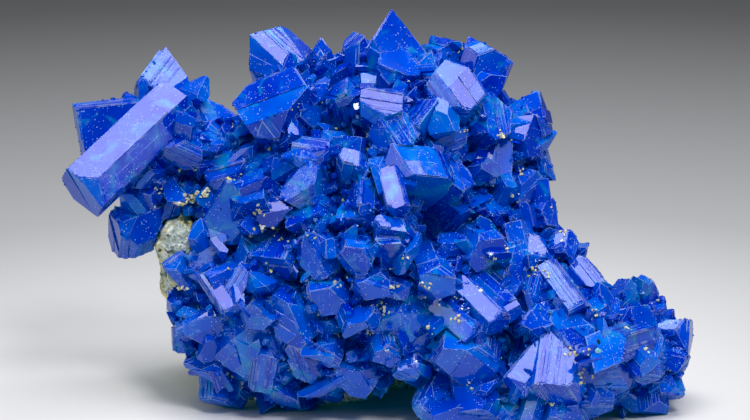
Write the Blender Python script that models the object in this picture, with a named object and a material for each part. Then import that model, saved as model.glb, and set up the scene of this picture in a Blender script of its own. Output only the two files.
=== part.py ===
"""A group of chalcanthite crystals on a piece of host rock, made in Blender 4.5.

The group stands on the plane z = 0 with its front towards -Y. Each crystal starts as a block that is cleaved
by the faces of a chalcanthite crystal. All the crystals are then joined in one solid, and the room that the
host rock takes is cut out of it, because the crystals grew into each other and over the rock.

A place is given as it is read on a front view, in millimetres: across to the right, up the view, and towards
the viewer. The view looks down on the group by VIEW_TILT, from VIEW_DISTANCE away.
"""

import math
import random

import bmesh
import bpy
from mathutils import Matrix, Vector, noise

MM = 0.001

# Driving dimensions, in millimetres and radians.
VIEW_TILT = math.radians(14.0)
VIEW_DISTANCE = 600.0
VIEW_CENTRE = (0.48, 35.2)
CUT_HEIGHT = 3.3
ROCK_GAP = 0.4
SEED = 29

# The crystal's cell: two of its edges in angstroms, and the angles between its three.
CELL_A, CELL_B = 6.12, 10.69
CELL_ALPHA, CELL_BETA, CELL_GAMMA = (math.radians(angle) for angle in (82.4, 107.3, 102.6))

ACROSS = Vector((1.0, 0.0, 0.0))
UP = Vector((0.0, math.sin(VIEW_TILT), math.cos(VIEW_TILT)))
TOWARDS = Vector((0.0, -math.cos(VIEW_TILT), math.sin(VIEW_TILT)))

# The massive chalcanthite that the crystals stand on: centre on the front view, and half sizes.
LOBES = [
    ("upper_mass", (3, 40, -3), (18, 17, 17)),
    ("shoulder", (-16, 38, 0), (9, 12, 13)),
    ("arm_root", (-28, 44, -1), (8, 6, 7)),
    ("left_foot", (-17, 19, 3), (11, 13, 13)),
    ("middle_foot", (4, 19, 4), (13, 9, 14)),
    ("right_ridge", (21, 24, 0), (9, 11, 13)),
    ("right_foot", (32, 11, 6), (12, 8, 13)),
    ("far_right", (42, 12, 2), (6, 6, 9)),
]

# The hollow that stays dark in the middle of the front.
HOLLOW = ("hollow", (11.5, 32, 14), (4.6, 7.6, 12))

# The host rock's blocks: centre on the front view, and half sizes.
ROCK_BLOCKS = [
    ("rock_body", (-11, 10, -16), (20, 13, 13)),
    ("rock_back", (5, 8, -19), (13, 9, 8)),
    ("rock_flank", (-25, 24, -9), (9, 13, 10)),
    ("rock_shoulder", (-17, 22, -19), (10, 9, 7)),
    ("rock_window", (-31, 30.5, 0), (3.8, 5.6, 7)),
]

# The crystals that are told apart on the front. Each line holds a name, a habit, the tip (across, up,
# towards), the direction (clock, lean, turn), the size (length, width, thickness) and the rake.
# clock is where the crystal points on the view, in degrees from the right towards the top. lean is how far it
# tips towards the viewer. turn swings its broad face, to the right for a crystal that points up. rake is how
# oblique its end is. A face that leans back from the viewer by 23 to 42 degrees mirrors the soft light
# overhead: that is the end of a crystal that points up with a lean of 50 to 65, or the broad face of one
# that points down with a lean of 25 to 40. The bright and the dark faces on the view follow that.
LEFT_ARM = [
    ("left_bar", "bar", (-46.4, 37.9, 15), (225, 28, 26), (23, 8.6, 7.4), 4),
    ("left_blade", "wedge", (-47.6, 51.8, 2), (147, 5, 0), (16, 14, 4), 0),
    ("left_chip", "tablet", (-39.8, 53.1, 0), (150, 0, 0), (7, 2.6, 2), 0),
    ("west_peak", "peak", (-33.0, 61.4, -3), (95, 0, 35), (21, 12, 8), 10),
    ("split_left", "wedge", (-34.4, 47.5, 8), (130, 50, 10), (13, 8, 6), 10),
    ("split_right", "wedge", (-30.0, 51.8, 7), (88, 35, 0), (12, 5.5, 5), -15),
    ("split_third", "block", (-30.5, 43.5, 9), (280, 50, 0), (11, 6.5, 5), 10),
    ("collar", "block", (-38.3, 42.0, 7), (190, 45, 0), (14, 7, 6.5), 0),
    ("collar_low", "block", (-37.4, 36.6, 4), (225, 20, 20), (13, 5.5, 5), 15),
    ("collar_back", "block", (-33.5, 38.0, 4), (250, 30, 0), (9, 5, 5), 0),
    ("west_knob", "block", (-41.0, 30.8, 3), (203, 18, -12), (18, 8, 8), 5),
    ("pale_prism", "bar", (-30.9, 38.6, 6), (70, 25, 30), (7, 2.4, 2.2), 20),
    ("window_block", "block", (-28.6, 39.0, 5), (80, 40, 0), (8, 4, 3.5), 0),
]
TOP = [
    ("northwest_lid", "block", (-15.2, 61.2, 7), (105, 55, 0), (18, 10, 9), 0),
    ("northwest_block", "block", (-16.2, 53.4, 13), (132, 58, 12), (24, 13, 10), 4),
    ("northwest_side", "wedge", (-11.0, 53.5, 13), (70, 55, 10), (16, 8, 7), -10),
    ("small_peak", "peak", (-8.0, 62.8, 0), (92, 10, 0), (17, 6, 5), 0),
    ("double_peak", "wedge", (-2.0, 63.4, -1), (88, 5, 20), (17, 5.5, 4.5), 8),
    ("north_spire", "peak", (3.2, 67.4, 0), (97, 12, 25), (28, 11, 9), 10),
    ("spire_side", "peak", (9.6, 60.6, 2), (72, 20, 0), (20, 8, 7), 0),
    ("spire_front", "block", (4.6, 58.6, 9), (85, 50, 15), (16, 7, 6), 6),
    ("speckled_rhomb", "block", (1.6, 52.8, 16), (100, 64, 8), (18, 7.5, 6.5), 0),
    ("left_of_rhomb", "wedge", (-4.0, 55.2, 13), (100, 50, -10), (16, 7, 6), 10),
    ("northeast_back", "block", (12.0, 62.4, -5), (84, 4, 10), (15, 6, 5), 8),
    ("northeast_crystal", "block", (18.6, 61.3, -3), (72, 6, 18), (20, 7.4, 6), 12),
    ("northeast_shoulder", "wedge", (21.6, 57.0, -1), (35, 12, 0), (14, 6, 6), 5),
    ("oval_face", "block", (13.9, 55.2, 13), (70, 60, 0), (20, 9.4, 8), 0),
    ("under_oval", "wedge", (9.0, 51.0, 15), (60, 60, 0), (14, 7, 6), 0),
    ("east_striated", "block", (27.6, 50.8, 1), (32, 14, 12), (20, 8.5, 7), 14),
    ("east_face", "block", (25.8, 47.0, 5), (15, 40, 12), (16, 7, 6), 8),
    ("east_point", "wedge", (28.9, 40.6, -1), (318, 14, 0), (15, 8, 5), -10),
    ("east_oval", "block", (25.4, 38.6, 5), (350, 45, 0), (13, 6.5, 5), 0),
    ("east_sliver", "tablet", (27.4, 36.2, 2), (278, 10, 40), (8, 2.2, 2.0), 0),
    ("upper_east_front", "block", (19.6, 50.2, 10), (40, 50, 8), (17, 8, 7), 0),
]
MIDDLE = [
    ("navy_wedge", "wedge", (-21.6, 48.2, 7), (125, 40, 0), (13, 6.5, 5), 0),
    ("grey_lavender", "block", (-23.6, 42.0, 10), (150, 55, 0), (14, 7.4, 6), 4),
    ("west_central", "wedge", (-17.4, 39.4, 16), (60, 52, 14), (17, 8, 8), 0),
    ("big_west", "block", (-23.6, 34.4, 12), (196, 56, 0), (20, 11, 9), -8),
    ("big_west_top", "block", (-27.2, 36.6, 6), (150, 25, 10), (12, 6, 6), 6),
    ("round_edged", "block", (-10.0, 45.0, 16), (115, 60, 0), (15, 6.6, 5.6), 0),
    ("north_of_round", "wedge", (-13.2, 48.6, 13), (120, 48, 0), (14, 6, 6), 8),
    ("centre_left", "block", (-11.6, 39.6, 17), (160, 64, 10), (16, 8, 6), 6),
    ("centre_left_low", "wedge", (-11.4, 33.4, 18), (210, 60, 0), (17, 7.4, 6), -6),
    ("parallelogram", "tablet", (-3.0, 43.6, 19), (80, 56, 0), (12, 5.0, 3.2), 5),
    ("centre_top", "block", (3.6, 48.2, 17), (90, 75, 0), (15, 8, 6), 0),
    ("lavender_strip", "block", (7.6, 43.0, 18), (78, 62, 12), (18, 12, 6), 8),
    ("white_flake", "tablet", (4.4, 34.9, 22), (285, 35, 0), (8, 3.6, 2.6), -10),
    ("flake_left", "wedge", (-1.8, 38.6, 20), (110, 56, 0), (15, 6, 6), 0),
    ("flake_low", "wedge", (-3.6, 34.0, 20), (200, 60, 0), (14, 6.4, 5), 0),
    ("bright_ledge", "tablet", (3.6, 33.0, 22), (85, 50, 0), (12, 6.6, 2.8), 5),
    ("second_ledge", "tablet", (3.0, 30.6, 22), (94, 50, 0), (10, 5.0, 2.4), 2),
    ("grey_square", "block", (-2.7, 27.0, 22), (262, 66, 0), (13, 5.8, 5.6), 0),
    ("shield", "block", (0.0, 22.4, 21), (280, 60, 0), (12, 6.4, 4), 0),
    ("grooved_prism", "bar", (12.8, 30.6, 14), (98, 34, 10), (13, 4.8, 4.2), 10),
    ("dull_face", "block", (10.3, 23.3, 21), (290, 68, 0), (12, 5.8, 5.6), 0),
    ("hollow_east", "wedge", (17.0, 36.0, 12), (20, 52, 0), (16, 8, 7), 0),
    ("hollow_top", "block", (13.4, 41.4, 14), (60, 50, 0), (14, 7, 6), 6),
    ("east_middle", "block", (20.6, 43.0, 9), (20, 52, 0), (15, 8, 7), 4),
    ("east_low", "wedge", (21.0, 34.6, 10), (350, 50, 0), (14, 7, 6), 0),
    ("tall_face", "block", (25.6, 29.4, 10), (70, 50, 10), (15, 6.4, 5), -5),
    ("ridge_front", "block", (18.6, 28.4, 15), (330, 60, 0), (14, 7, 6), 0),
    ("east_block", "block", (28.6, 34.8, 4), (24, 36, 0), (13, 5.2, 5), 0),
    ("lavender_oval", "block", (31.8, 29.8, 6), (30, 44, 0), (13, 5, 4.4), 0),
    ("small_east_wedge", "wedge", (34.6, 29.6, 2), (42, 20, 0), (11, 3.6, 3.4), 0),
]
LEFT_FOOT = [
    ("leaning_prism", "bar", (-31.8, 27.4, 7), (130, 24, 20), (11, 4.2, 3.8), 12),
    ("dark_hexagon", "block", (-26.8, 26.8, 9), (180, 60, 0), (14, 7, 6.4), 0),
    ("left_fan", "tablet", (-32.4, 19.6, 4), (196, 16, 26), (14, 6.0, 3.6), -16),
    ("left_fan_low", "block", (-31.5, 15.0, 4), (192, 14, 10), (13, 5.4, 5), 6),
    ("striped_leaf", "tablet", (-22.4, 18.8, 15), (305, 30, -10), (8, 3.6, 3.0), 10),
    ("octagon", "block", (-23.6, 14.6, 10), (205, 62, 0), (13, 7, 6.4), 0),
    ("west_plate", "tablet", (-21.0, 24.4, 15), (150, 58, 0), (12, 8, 3.6), 0),
    ("broad_plate", "block", (-13.6, 17.0, 17), (230, 60, 10), (17, 10, 7), 0),
    ("broad_plate_low", "block", (-11.4, 10.4, 14), (250, 48, 0), (15, 8, 6.4), 4),
    ("broad_plate_east", "block", (-6.6, 20.6, 19), (280, 62, 0), (14, 7.6, 5.4), 0),
    ("west_belly", "wedge", (-16.6, 27.6, 17), (190, 64, 0), (16, 8, 7), 0),
    ("centre_belly", "block", (-9.0, 27.4, 19), (230, 66, 0), (15, 8, 6), 4),
    ("foot_prism", "bar", (-23.8, 4.2, 2), (267, 12, -14), (21, 7.4, 6.6), 8),
    ("foot_wedge", "wedge", (-16.8, 2.6, 0), (264, 16, 14), (17, 7.6, 6.4), 12),
    ("glassy_flake", "tablet", (-16.8, 12.6, 15), (80, 40, 0), (8, 4.0, 2.2), 0),
    ("grey_pentagon", "block", (-7.0, 11.6, 16), (270, 60, 0), (11, 4.8, 4.4), 0),
    ("low_foot", "block", (-11.4, 2.8, 0), (276, 14, 0), (14, 5.4, 5), 6),
    ("low_foot_east", "block", (-7.0, 5.0, 5), (272, 20, 8), (13, 5.0, 4.6), 0),
]
MIDDLE_FOOT = [
    ("navy_prism", "block", (-3.0, 7.6, 13), (255, 50, 0), (17, 7.4, 6.6), -5),
    ("shard_left", "wedge", (-4.4, 17.0, 20), (250, 52, 0), (11, 4.4, 3.4), 0),
    ("shard_right", "wedge", (-0.4, 16.6, 20), (285, 52, 0), (11, 4.2, 3.4), 0),
    ("grey_lavender_low", "block", (2.4, 11.6, 17), (288, 46, 0), (12, 4.8, 4.4), 0),
    ("pale_end", "bar", (5.4, 8.6, 15), (262, 30, 0), (12, 4.0, 3.6), 0),
    ("striated_prism", "bar", (20.2, 16.8, 19), (315, 30, -20), (13, 4.6, 3.8), 5),
    ("parallel_prism", "bar", (16.4, 14.8, 19), (318, 26, 12), (15, 4.0, 3.6), 8),
    ("parallel_back", "bar", (21.6, 19.6, 15), (318, 20, 12), (15, 3.8, 3.6), 8),
    ("dark_big", "block", (14.4, 9.6, 18), (262, 50, 0), (20, 10.6, 9.4), -6),
    ("low_front_grey", "block", (17.2, 2.0, 16), (280, 30, 10), (16, 7.4, 6.4), 8),
    ("low_front_west", "block", (9.0, 1.6, 13), (240, 28, 0), (17, 7.4, 6.4), 6),
    ("low_front_east", "block", (23.4, 1.0, 14), (295, 30, 10), (15, 7.0, 6), 0),
]
RIGHT_FOOT = [
    ("bright_wedge", "wedge", (23.4, 16.4, 17), (196, 34, 20), (14, 5.6, 5), 0),
    ("speckled_block", "block", (32.0, 16.6, 17), (100, 70, 0), (15, 7.8, 6.6), 0),
    ("striated_east", "bar", (40.0, 13.0, 14), (318, 20, 10), (15, 4.2, 3.6), 6),
    ("right_bar", "bar", (22.8, 6.8, 19), (230, 24, 16), (17, 4.6, 4.0), 6),
    ("large_right_face", "block", (29.0, 5.4, 19), (260, 35, 0), (15, 9.4, 8.0), -5),
    ("under_large_face", "block", (35.4, 3.6, 15), (296, 36, 0), (16, 7.4, 6.4), 6),
    ("right_front_low", "block", (30.4, 0.6, 15), (262, 26, 0), (15, 7.6, 6.6), -4),
    ("right_pentagon", "block", (34.4, 25.2, 8), (70, 55, 0), (14, 6.2, 5.6), -5),
    ("bright_strip", "bar", (33.2, 18.7, 16), (305, 30, -10), (10, 4.0, 3.6), 5),
    ("ridge_to_foot", "block", (27.4, 22.6, 13), (20, 62, 0), (14, 6.6, 6), 0),
    ("fan_blade_west", "wedge", (40.4, 24.2, 1), (92, 10, 10), (15, 5.6, 4), 0),
    ("fan_blade_middle", "wedge", (44.0, 24.4, 0), (72, 12, 16), (16, 6.2, 4.4), -6),
    ("fan_blade_east", "wedge", (46.8, 20.6, 1), (44, 12, 20), (14, 6.0, 4.6), -6),
    ("fan_root", "block", (38.2, 19.8, 8), (60, 46, 0), (13, 6.4, 5.4), 0),
    ("big_dark_right", "block", (43.6, 16.0, 10), (20, 48, 10), (18, 8.6, 7.6), 0),
    ("lavender_quad", "block", (44.0, 8.3, 12), (290, 30, 0), (12, 5.2, 4.6), 0),
    ("far_right_block", "block", (50.9, 14.8, 2), (2, 16, 14), (15, 6.2, 5.6), 4),
    ("far_right_round", "block", (49.8, 10.4, 4), (344, 26, 0), (13, 5.0, 4.6), 0),
    ("far_right_low", "bar", (47.8, 5.4, 5), (286, 22, 0), (12, 4.4, 3.8), 10),
    ("far_right_foot", "block", (44.6, 2.6, 4), (276, 14, 0), (14, 6.0, 5.4), 4),
]
FRONT_CRYSTALS = LEFT_ARM + TOP + MIDDLE + LEFT_FOOT + MIDDLE_FOOT + RIGHT_FOOT

# Smaller crystals cover the massive part between and behind those: their spacing and their size range.
COVER_SPACING = 9.6
COVER_WIDTH = (5.4, 9.2)
COVER_LENGTH_SHARE = (1.7, 2.3)
COVER_THICKNESS_SHARE = (0.55, 0.9)
COVER_PROUD = (2.0, 4.6)
COVER_RAKE = 24.0
COVER_WANDER = 0.32
# Places tried for each one kept, and how near, as a share of the spacing, two of them may be.
COVER_CHOICE = 1.9
COVER_NEAREST = 0.72
# How near a cover crystal may be to a tip that is told apart, and how far out of the other lobes, of the rock
# and of the hollow it has to be, as a share of their half sizes.
TIP_CLEARANCE = 4.6
LOBE_CLEARANCE = 0.97
ROCK_CLEARANCE = 1.06
HOLLOW_CLEARANCE = 1.3

# How the lobes are broken up: icosphere detail, height of the bumps, and their spacing. The rock's blocks are
# bounded by this many fracture faces, each at this share of an ellipsoid's reach.
LOBE_SURFACE = (2, 1.2, 6.0)
ROCK_FACES = 26
ROCK_REACH = (0.80, 1.02)
ROCK_WANDER = 0.16

# The ground block's edge, in millimetres, and what counts as one point and one flat face of a joined solid.
GROUND_BLOCK = 300.0
MERGE = 1e-7
FLAT_ANGLE = math.radians(0.1)


def prism_face(h, k):
    """Return the outward normal of the crystal face (h k 0), with the crystal's c axis along Z."""
    cos_alpha, cos_beta, cos_gamma = (math.cos(angle) for angle in (CELL_ALPHA, CELL_BETA, CELL_GAMMA))
    b_x = (cos_gamma - cos_alpha * cos_beta) / math.sin(CELL_BETA)
    b_y = math.sqrt(1.0 - cos_alpha ** 2 - b_x ** 2)
    a_axis = Vector((math.sin(CELL_BETA), 0.0, cos_beta)) * CELL_A
    b_axis = Vector((b_x, b_y, cos_alpha)) * CELL_B
    c_axis = Vector((0.0, 0.0, 1.0))
    return (h * b_axis.cross(c_axis) + k * c_axis.cross(a_axis)).normalized()


# The faces along the prism, and how near the axis each cuts, as a share of the crystal's half width.
PRISM_FACES = [
    (prism_face(1, 1), 0.97),
    (prism_face(0, 1), 0.93),
    (prism_face(-1, 1), 0.97),
    (prism_face(-1, -1), 0.97),
    (prism_face(0, -1), 0.93),
    (prism_face(1, -1), 0.97),
]

# The faces that close a crystal's end, by habit: direction round the axis, slope off the end, and how far
# below the tip it cuts the crystal's edge, as a share of the width. A face with no drop goes through the tip.
END_FACES = {
    "bar": [(250, 46, 0.16)],
    "block": [(40, 52, 0.26), (225, 46, 0.24)],
    "wedge": [(4, 56, 0.0), (172, 48, 0.0)],
    "peak": [(20, 64, 0.0), (140, 62, 0.0), (255, 60, 0.0)],
    "tablet": [(5, 50, 0.30)],
}
POINTED = ("wedge", "peak")

# How much crystals of one habit differ: in the share of their prism faces, in the direction and the slope of
# their end faces, in degrees, and in the drop. The block that a crystal is cleaved from is bigger by
# BLOCK_ROOM.
PRISM_SPREAD = (0.90, 1.04)
END_TURN = 25.0
END_SLOPE = 5.0
DROP_SPREAD = (0.7, 1.3)
BLOCK_ROOM = 1.25


def on_view(across, up, towards):
    """Return the point, in millimetres, that the front view shows at this place."""
    nearer = (VIEW_DISTANCE - towards) / VIEW_DISTANCE
    beside = (across - VIEW_CENTRE[0]) * nearer + VIEW_CENTRE[0]
    above = (up - VIEW_CENTRE[1]) * nearer + VIEW_CENTRE[1]
    return ACROSS * beside + UP * above + TOWARDS * towards


def aimed(clock, lean, turn):
    """Return the crystal's own axes: across its broad face, out of it, and along its length."""
    clock, lean, turn = math.radians(clock), math.radians(lean), math.radians(turn)
    on_plane = ACROSS * math.cos(clock) + UP * math.sin(clock)
    along = on_plane * math.cos(lean) + TOWARDS * math.sin(lean)
    side = ACROSS * math.sin(clock) - UP * math.cos(clock)
    front = TOWARDS * math.cos(lean) - on_plane * math.sin(lean)
    broad = front * math.cos(turn) + side * math.sin(turn)
    width = side * math.cos(turn) - front * math.sin(turn)
    return width, broad, along


def cleave(mesh, point, normal):
    """Cut a convex mesh with a plane, keep the part behind it, and close it with one flat face."""
    cut = bmesh.ops.bisect_plane(
        mesh,
        geom=mesh.verts[:] + mesh.edges[:] + mesh.faces[:],
        plane_co=point,
        plane_no=normal,
        clear_outer=True,
        dist=1e-5,
    )
    edges = [item for item in cut["geom_cut"] if isinstance(item, bmesh.types.BMEdge)]
    open_edges = [edge for edge in edges if edge.is_boundary]
    if open_edges:
        bmesh.ops.edgenet_fill(mesh, edges=open_edges)


def crystal(name, habit, tip, axes, size, rake):
    """Make one crystal in millimetres: a block cleaved by its prism faces and its end faces."""
    length, width, thickness = size
    chance = random.Random(f"{SEED} {name}")
    mesh = bmesh.new()
    bmesh.ops.create_cube(mesh, size=BLOCK_ROOM)
    bmesh.ops.scale(mesh, verts=mesh.verts, vec=(width, thickness, length))
    bmesh.ops.translate(mesh, verts=mesh.verts, vec=(0.0, 0.0, -0.5 * length))
    for normal, share in PRISM_FACES:
        reach = math.hypot(normal.x * width, normal.y * thickness) / 2.0
        cleave(mesh, normal * reach * share * chance.uniform(*PRISM_SPREAD), normal)
    oblique = Matrix.Rotation(math.radians(rake), 3, "Y")
    if habit not in POINTED:
        cleave(mesh, Vector(), oblique @ Vector((0.0, 0.0, 1.0)))
    for direction, slope, drop in END_FACES[habit]:
        direction = math.radians(direction + chance.uniform(-END_TURN, END_TURN))
        slope = math.radians(slope + chance.uniform(-END_SLOPE, END_SLOPE))
        outward = Vector((math.cos(direction), math.sin(direction), 0.0))
        normal = outward * math.sin(slope) + Vector((0.0, 0.0, math.cos(slope)))
        point = Vector((outward.x * width, outward.y * thickness, 0.0)) / 2.0 if drop else Vector()
        point.z -= drop * width * chance.uniform(*DROP_SPREAD)
        cleave(mesh, point, oblique @ normal if habit in POINTED else normal)
    cleave(mesh, Vector((0.0, 0.0, -length)), Vector((0.0, 0.0, -1.0)))
    side, broad, along = axes
    turned = Matrix((side, -broad, along)).transposed()
    bmesh.ops.transform(mesh, matrix=Matrix.Translation(tip) @ turned.to_4x4(), verts=mesh.verts)
    bmesh.ops.recalc_face_normals(mesh, faces=mesh.faces)
    return mesh


def golden_directions(count):
    """Return unit vectors that are spread evenly over a sphere."""
    golden = math.pi * (3.0 - math.sqrt(5.0))
    found = []
    for index in range(count):
        height = 1.0 - 2.0 * (index + 0.5) / count
        ring = math.sqrt(1.0 - height * height)
        found.append(Vector((math.cos(golden * index) * ring, height, math.sin(golden * index) * ring)))
    return found


def wander(chance, spread):
    """Return a small random vector."""
    return Vector([chance.gauss(0.0, spread) for _ in range(3)])


def off_view(vector):
    """Turn a vector of the front view's own axes into one of the model's axes."""
    return ACROSS * vector.x + UP * vector.y + TOWARDS * vector.z


def lump(centre, half_size):
    """Make one closed lump in millimetres, with a bumpy surface."""
    detail, height, spacing = LOBE_SURFACE
    mesh = bmesh.new()
    bmesh.ops.create_icosphere(mesh, subdivisions=detail, radius=1.0)
    middle = on_view(*centre)
    for vertex in mesh.verts:
        out = off_view(Matrix.Diagonal(half_size) @ vertex.co)
        bump = noise.noise((middle + out) / spacing) * height
        vertex.co = middle + out + out.normalized() * bump
    bmesh.ops.recalc_face_normals(mesh, faces=mesh.faces)
    return mesh


def block_of_rock(name, centre, half_size, grown=0.0):
    """Make one angular block in millimetres, bounded by fracture faces, or its grown copy."""
    chance = random.Random(f"{SEED} {name}")
    mesh = bmesh.new()
    bmesh.ops.create_cube(mesh, size=4.0 * max(half_size))
    for direction in golden_directions(ROCK_FACES):
        normal = (direction + wander(chance, ROCK_WANDER)).normalized()
        reach = Vector([normal[i] * half_size[i] for i in range(3)]).length
        distance = reach * chance.uniform(*ROCK_REACH) + grown
        cleave(mesh, normal * distance, normal)
    for vertex in mesh.verts:
        vertex.co = on_view(*centre) + off_view(vertex.co)
    bmesh.ops.recalc_face_normals(mesh, faces=mesh.faces)
    return mesh


def depth_in_lump(place, lump_row):
    """Return how far out of a lump a point is: below 1 is inside it."""
    offset = place - on_view(*lump_row[1])
    half = lump_row[2]
    return math.sqrt(sum((offset.dot(axis) / half[i]) ** 2 for i, axis in enumerate((ACROSS, UP, TOWARDS))))


def cover_places():
    """Return a place and an outward direction for each smaller crystal, spread evenly over the lobes."""
    front_tips = [on_view(*row[2]) for row in FRONT_CRYSTALS]
    found = []
    for row in LOBES:
        half = row[2]
        area = 4.0 * math.pi * (half[0] * half[1] + half[1] * half[2] + half[0] * half[2]) / 3.0
        for unit in golden_directions(int(area / COVER_SPACING ** 2 * COVER_CHOICE)):
            place = on_view(*row[1]) + off_view(Matrix.Diagonal(half) @ unit)
            outward = off_view(Vector([unit[i] / half[i] for i in range(3)])).normalized()
            root = place + outward * COVER_PROUD[0]
            if any(depth_in_lump(place, other) < LOBE_CLEARANCE for other in LOBES if other is not row):
                continue
            if any(depth_in_lump(place, other) < ROCK_CLEARANCE for other in ROCK_BLOCKS):
                continue
            if depth_in_lump(root, HOLLOW) < HOLLOW_CLEARANCE or place.z < CUT_HEIGHT:
                continue
            if any((place - other).length < COVER_SPACING * COVER_NEAREST for other, _ in found):
                continue
            if any((root - tip).length < TIP_CLEARANCE for tip in front_tips):
                continue
            found.append((place, outward))
    return found


def cover_crystals():
    """Make the smaller crystals that cover the lobes, each leaning its own way off the surface."""
    chance = random.Random(SEED)
    made = []
    for index, (place, outward) in enumerate(cover_places()):
        along = (outward + wander(chance, COVER_WANDER)).normalized()
        side = along.cross(wander(chance, 1.0)).normalized()
        width = chance.uniform(*COVER_WIDTH)
        length = width * chance.uniform(*COVER_LENGTH_SHARE)
        thickness = width * chance.uniform(*COVER_THICKNESS_SHARE)
        habit = chance.choice(("block", "block", "wedge", "wedge", "peak"))
        tip = place + along * chance.uniform(*COVER_PROUD)
        rake = chance.uniform(-COVER_RAKE, COVER_RAKE)
        axes = (side, side.cross(along), along)
        made.append(crystal(f"cover_{index}", habit, tip, axes, (length, width, thickness), rake))
    return made


def new_object(name, mesh, collection):
    """Put a mesh in the scene, in metres, as an object of the collection."""
    bmesh.ops.scale(mesh, verts=mesh.verts, vec=(MM, MM, MM))
    data = bpy.data.meshes.new(name)
    mesh.to_mesh(data)
    mesh.free()
    made = bpy.data.objects.new(name, data)
    collection.objects.link(made)
    return made


def boolean(made, operation, others):
    """Join other objects to this one, or cut them out of it, and keep the result as its mesh."""
    step = made.modifiers.new(operation.lower(), "BOOLEAN")
    step.operation = operation
    step.solver = "EXACT"
    step.operand_type = "COLLECTION"
    step.collection = others
    evaluated = made.evaluated_get(bpy.context.evaluated_depsgraph_get())
    result = bpy.data.meshes.new_from_object(evaluated)
    made.modifiers.remove(step)
    made.data = result


def outer_skin(made):
    """Keep the outer skin of an object, without sealed hollows inside it or crumbs beside it."""
    mesh = bmesh.new()
    mesh.from_mesh(made.data)
    bmesh.ops.remove_doubles(mesh, verts=mesh.verts, dist=MERGE)
    waiting = set(mesh.faces)
    shells = []
    while waiting:
        shell = [waiting.pop()]
        for face in shell:
            beside = {other for edge in face.edges for other in edge.link_faces} & waiting
            waiting -= beside
            shell.extend(beside)
        shells.append(shell)
    shells.sort(key=len)
    for shell in shells[:-1]:
        bmesh.ops.delete(mesh, geom=shell, context="FACES")
    bmesh.ops.dissolve_limit(mesh, angle_limit=FLAT_ANGLE, verts=mesh.verts, edges=mesh.edges)
    bmesh.ops.triangulate(mesh, faces=mesh.faces)
    mesh.to_mesh(made.data)
    mesh.free()


def material(name, colour, roughness):
    """Make a plain material for a node."""
    made = bpy.data.materials.new(name)
    made.use_nodes = True
    shader = made.node_tree.nodes["Principled BSDF"]
    shader.inputs["Base Color"].default_value = (*colour, 1.0)
    shader.inputs["Roughness"].default_value = roughness
    shader.inputs["Metallic"].default_value = 0.0
    return made


def new_collection(name):
    made = bpy.data.collections.new(name)
    bpy.context.scene.collection.children.link(made)
    return made


def cutter(name, mesh, collection):
    """Add a guide that cuts other objects and isn't part of the specimen."""
    made = new_object(name, mesh, collection)
    made.hide_render = True
    made.display_type = "WIRE"
    return made


def remove_collection(collection):
    for item in list(collection.objects):
        bpy.data.objects.remove(item)
    bpy.data.collections.remove(collection)


def ground_block(collection):
    """Add the block that cuts everything off flat at the height where the group broke off."""
    mesh = bmesh.new()
    bmesh.ops.create_cube(mesh, size=GROUND_BLOCK)
    bmesh.ops.translate(mesh, verts=mesh.verts, vec=(0.0, 0.0, CUT_HEIGHT - GROUND_BLOCK / 2.0))
    return cutter("ground_block", mesh, collection)


def grow_crystals(specimen):
    """Join the lobes and every crystal in one solid."""
    made = new_object("chalcanthite_crystals", lump(*LOBES[0][1:]), specimen)
    growth = new_collection("growth")
    for name, centre, half_size in LOBES[1:]:
        new_object(name, lump(centre, half_size), growth)
    boolean(made, "UNION", growth)
    remove_collection(growth)
    opening = new_collection("opening")
    cutter(HOLLOW[0], lump(*HOLLOW[1:]), opening)
    boolean(made, "DIFFERENCE", opening)
    remove_collection(opening)
    growth = new_collection("growth")
    for name, habit, tip, direction, size, rake in FRONT_CRYSTALS:
        new_object(name, crystal(name, habit, on_view(*tip), aimed(*direction), size, rake), growth)
    for index, mesh in enumerate(cover_crystals()):
        new_object(f"cover_{index}", mesh, growth)
    boolean(made, "UNION", growth)
    print("crystals joined:", len(growth.objects))
    remove_collection(growth)
    return made


def grow_rock(specimen):
    """Join the host rock's blocks in one solid."""
    made = new_object("host_rock", block_of_rock(*ROCK_BLOCKS[0]), specimen)
    growth = new_collection("growth")
    for name, centre, half_size in ROCK_BLOCKS[1:]:
        new_object(name, block_of_rock(name, centre, half_size), growth)
    boolean(made, "UNION", growth)
    remove_collection(growth)
    return made


def rest_at_origin(made):
    """Move the pieces so that the cut is at z = 0 and the middle of their box is over the origin."""
    corners = [vertex.co for item in made for vertex in item.data.vertices]
    low = [min(corner[axis] for corner in corners) for axis in range(3)]
    high = [max(corner[axis] for corner in corners) for axis in range(3)]
    shift = Vector((-(low[0] + high[0]) / 2.0, -(low[1] + high[1]) / 2.0, -low[2]))
    for item in made:
        item.data.transform(Matrix.Translation(shift))
    print("moved by, in mm:", [round(value / MM, 2) for value in shift])
    return shift


def main():
    for item in list(bpy.data.objects):
        bpy.data.objects.remove(item)
    specimen = new_collection("chalcanthite_specimen")
    crystals = grow_crystals(specimen)
    rock = grow_rock(specimen)

    ground = new_collection("ground")
    ground_block(ground)
    boolean(rock, "DIFFERENCE", ground)
    for name, centre, half_size in ROCK_BLOCKS:
        cutter(f"{name}_room", block_of_rock(name, centre, half_size, ROCK_GAP), ground)
    boolean(crystals, "DIFFERENCE", ground)
    remove_collection(ground)

    outer_skin(crystals)
    outer_skin(rock)
    rest_at_origin([crystals, rock])
    crystals.data.materials.append(material("Chalcanthite", (0.0, 0.06, 0.72), 0.12))
    rock.data.materials.append(material("AlteredRock", (0.46, 0.50, 0.36), 0.9))


if __name__ == "__main__":
    main()
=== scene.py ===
# %% [markdown]
# # A chalcanthite specimen
#
# Chalcanthite is hydrated copper sulfate. It grows as deep blue, glassy, oblique prisms that crowd and cross
# each other. This script takes the solid model of such a group, gives it its glassy blue, covers it with the
# small crystals that fill the gaps between the large ones, and sets it in soft studio light.

# %% Load the solid model
import math
import random

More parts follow.
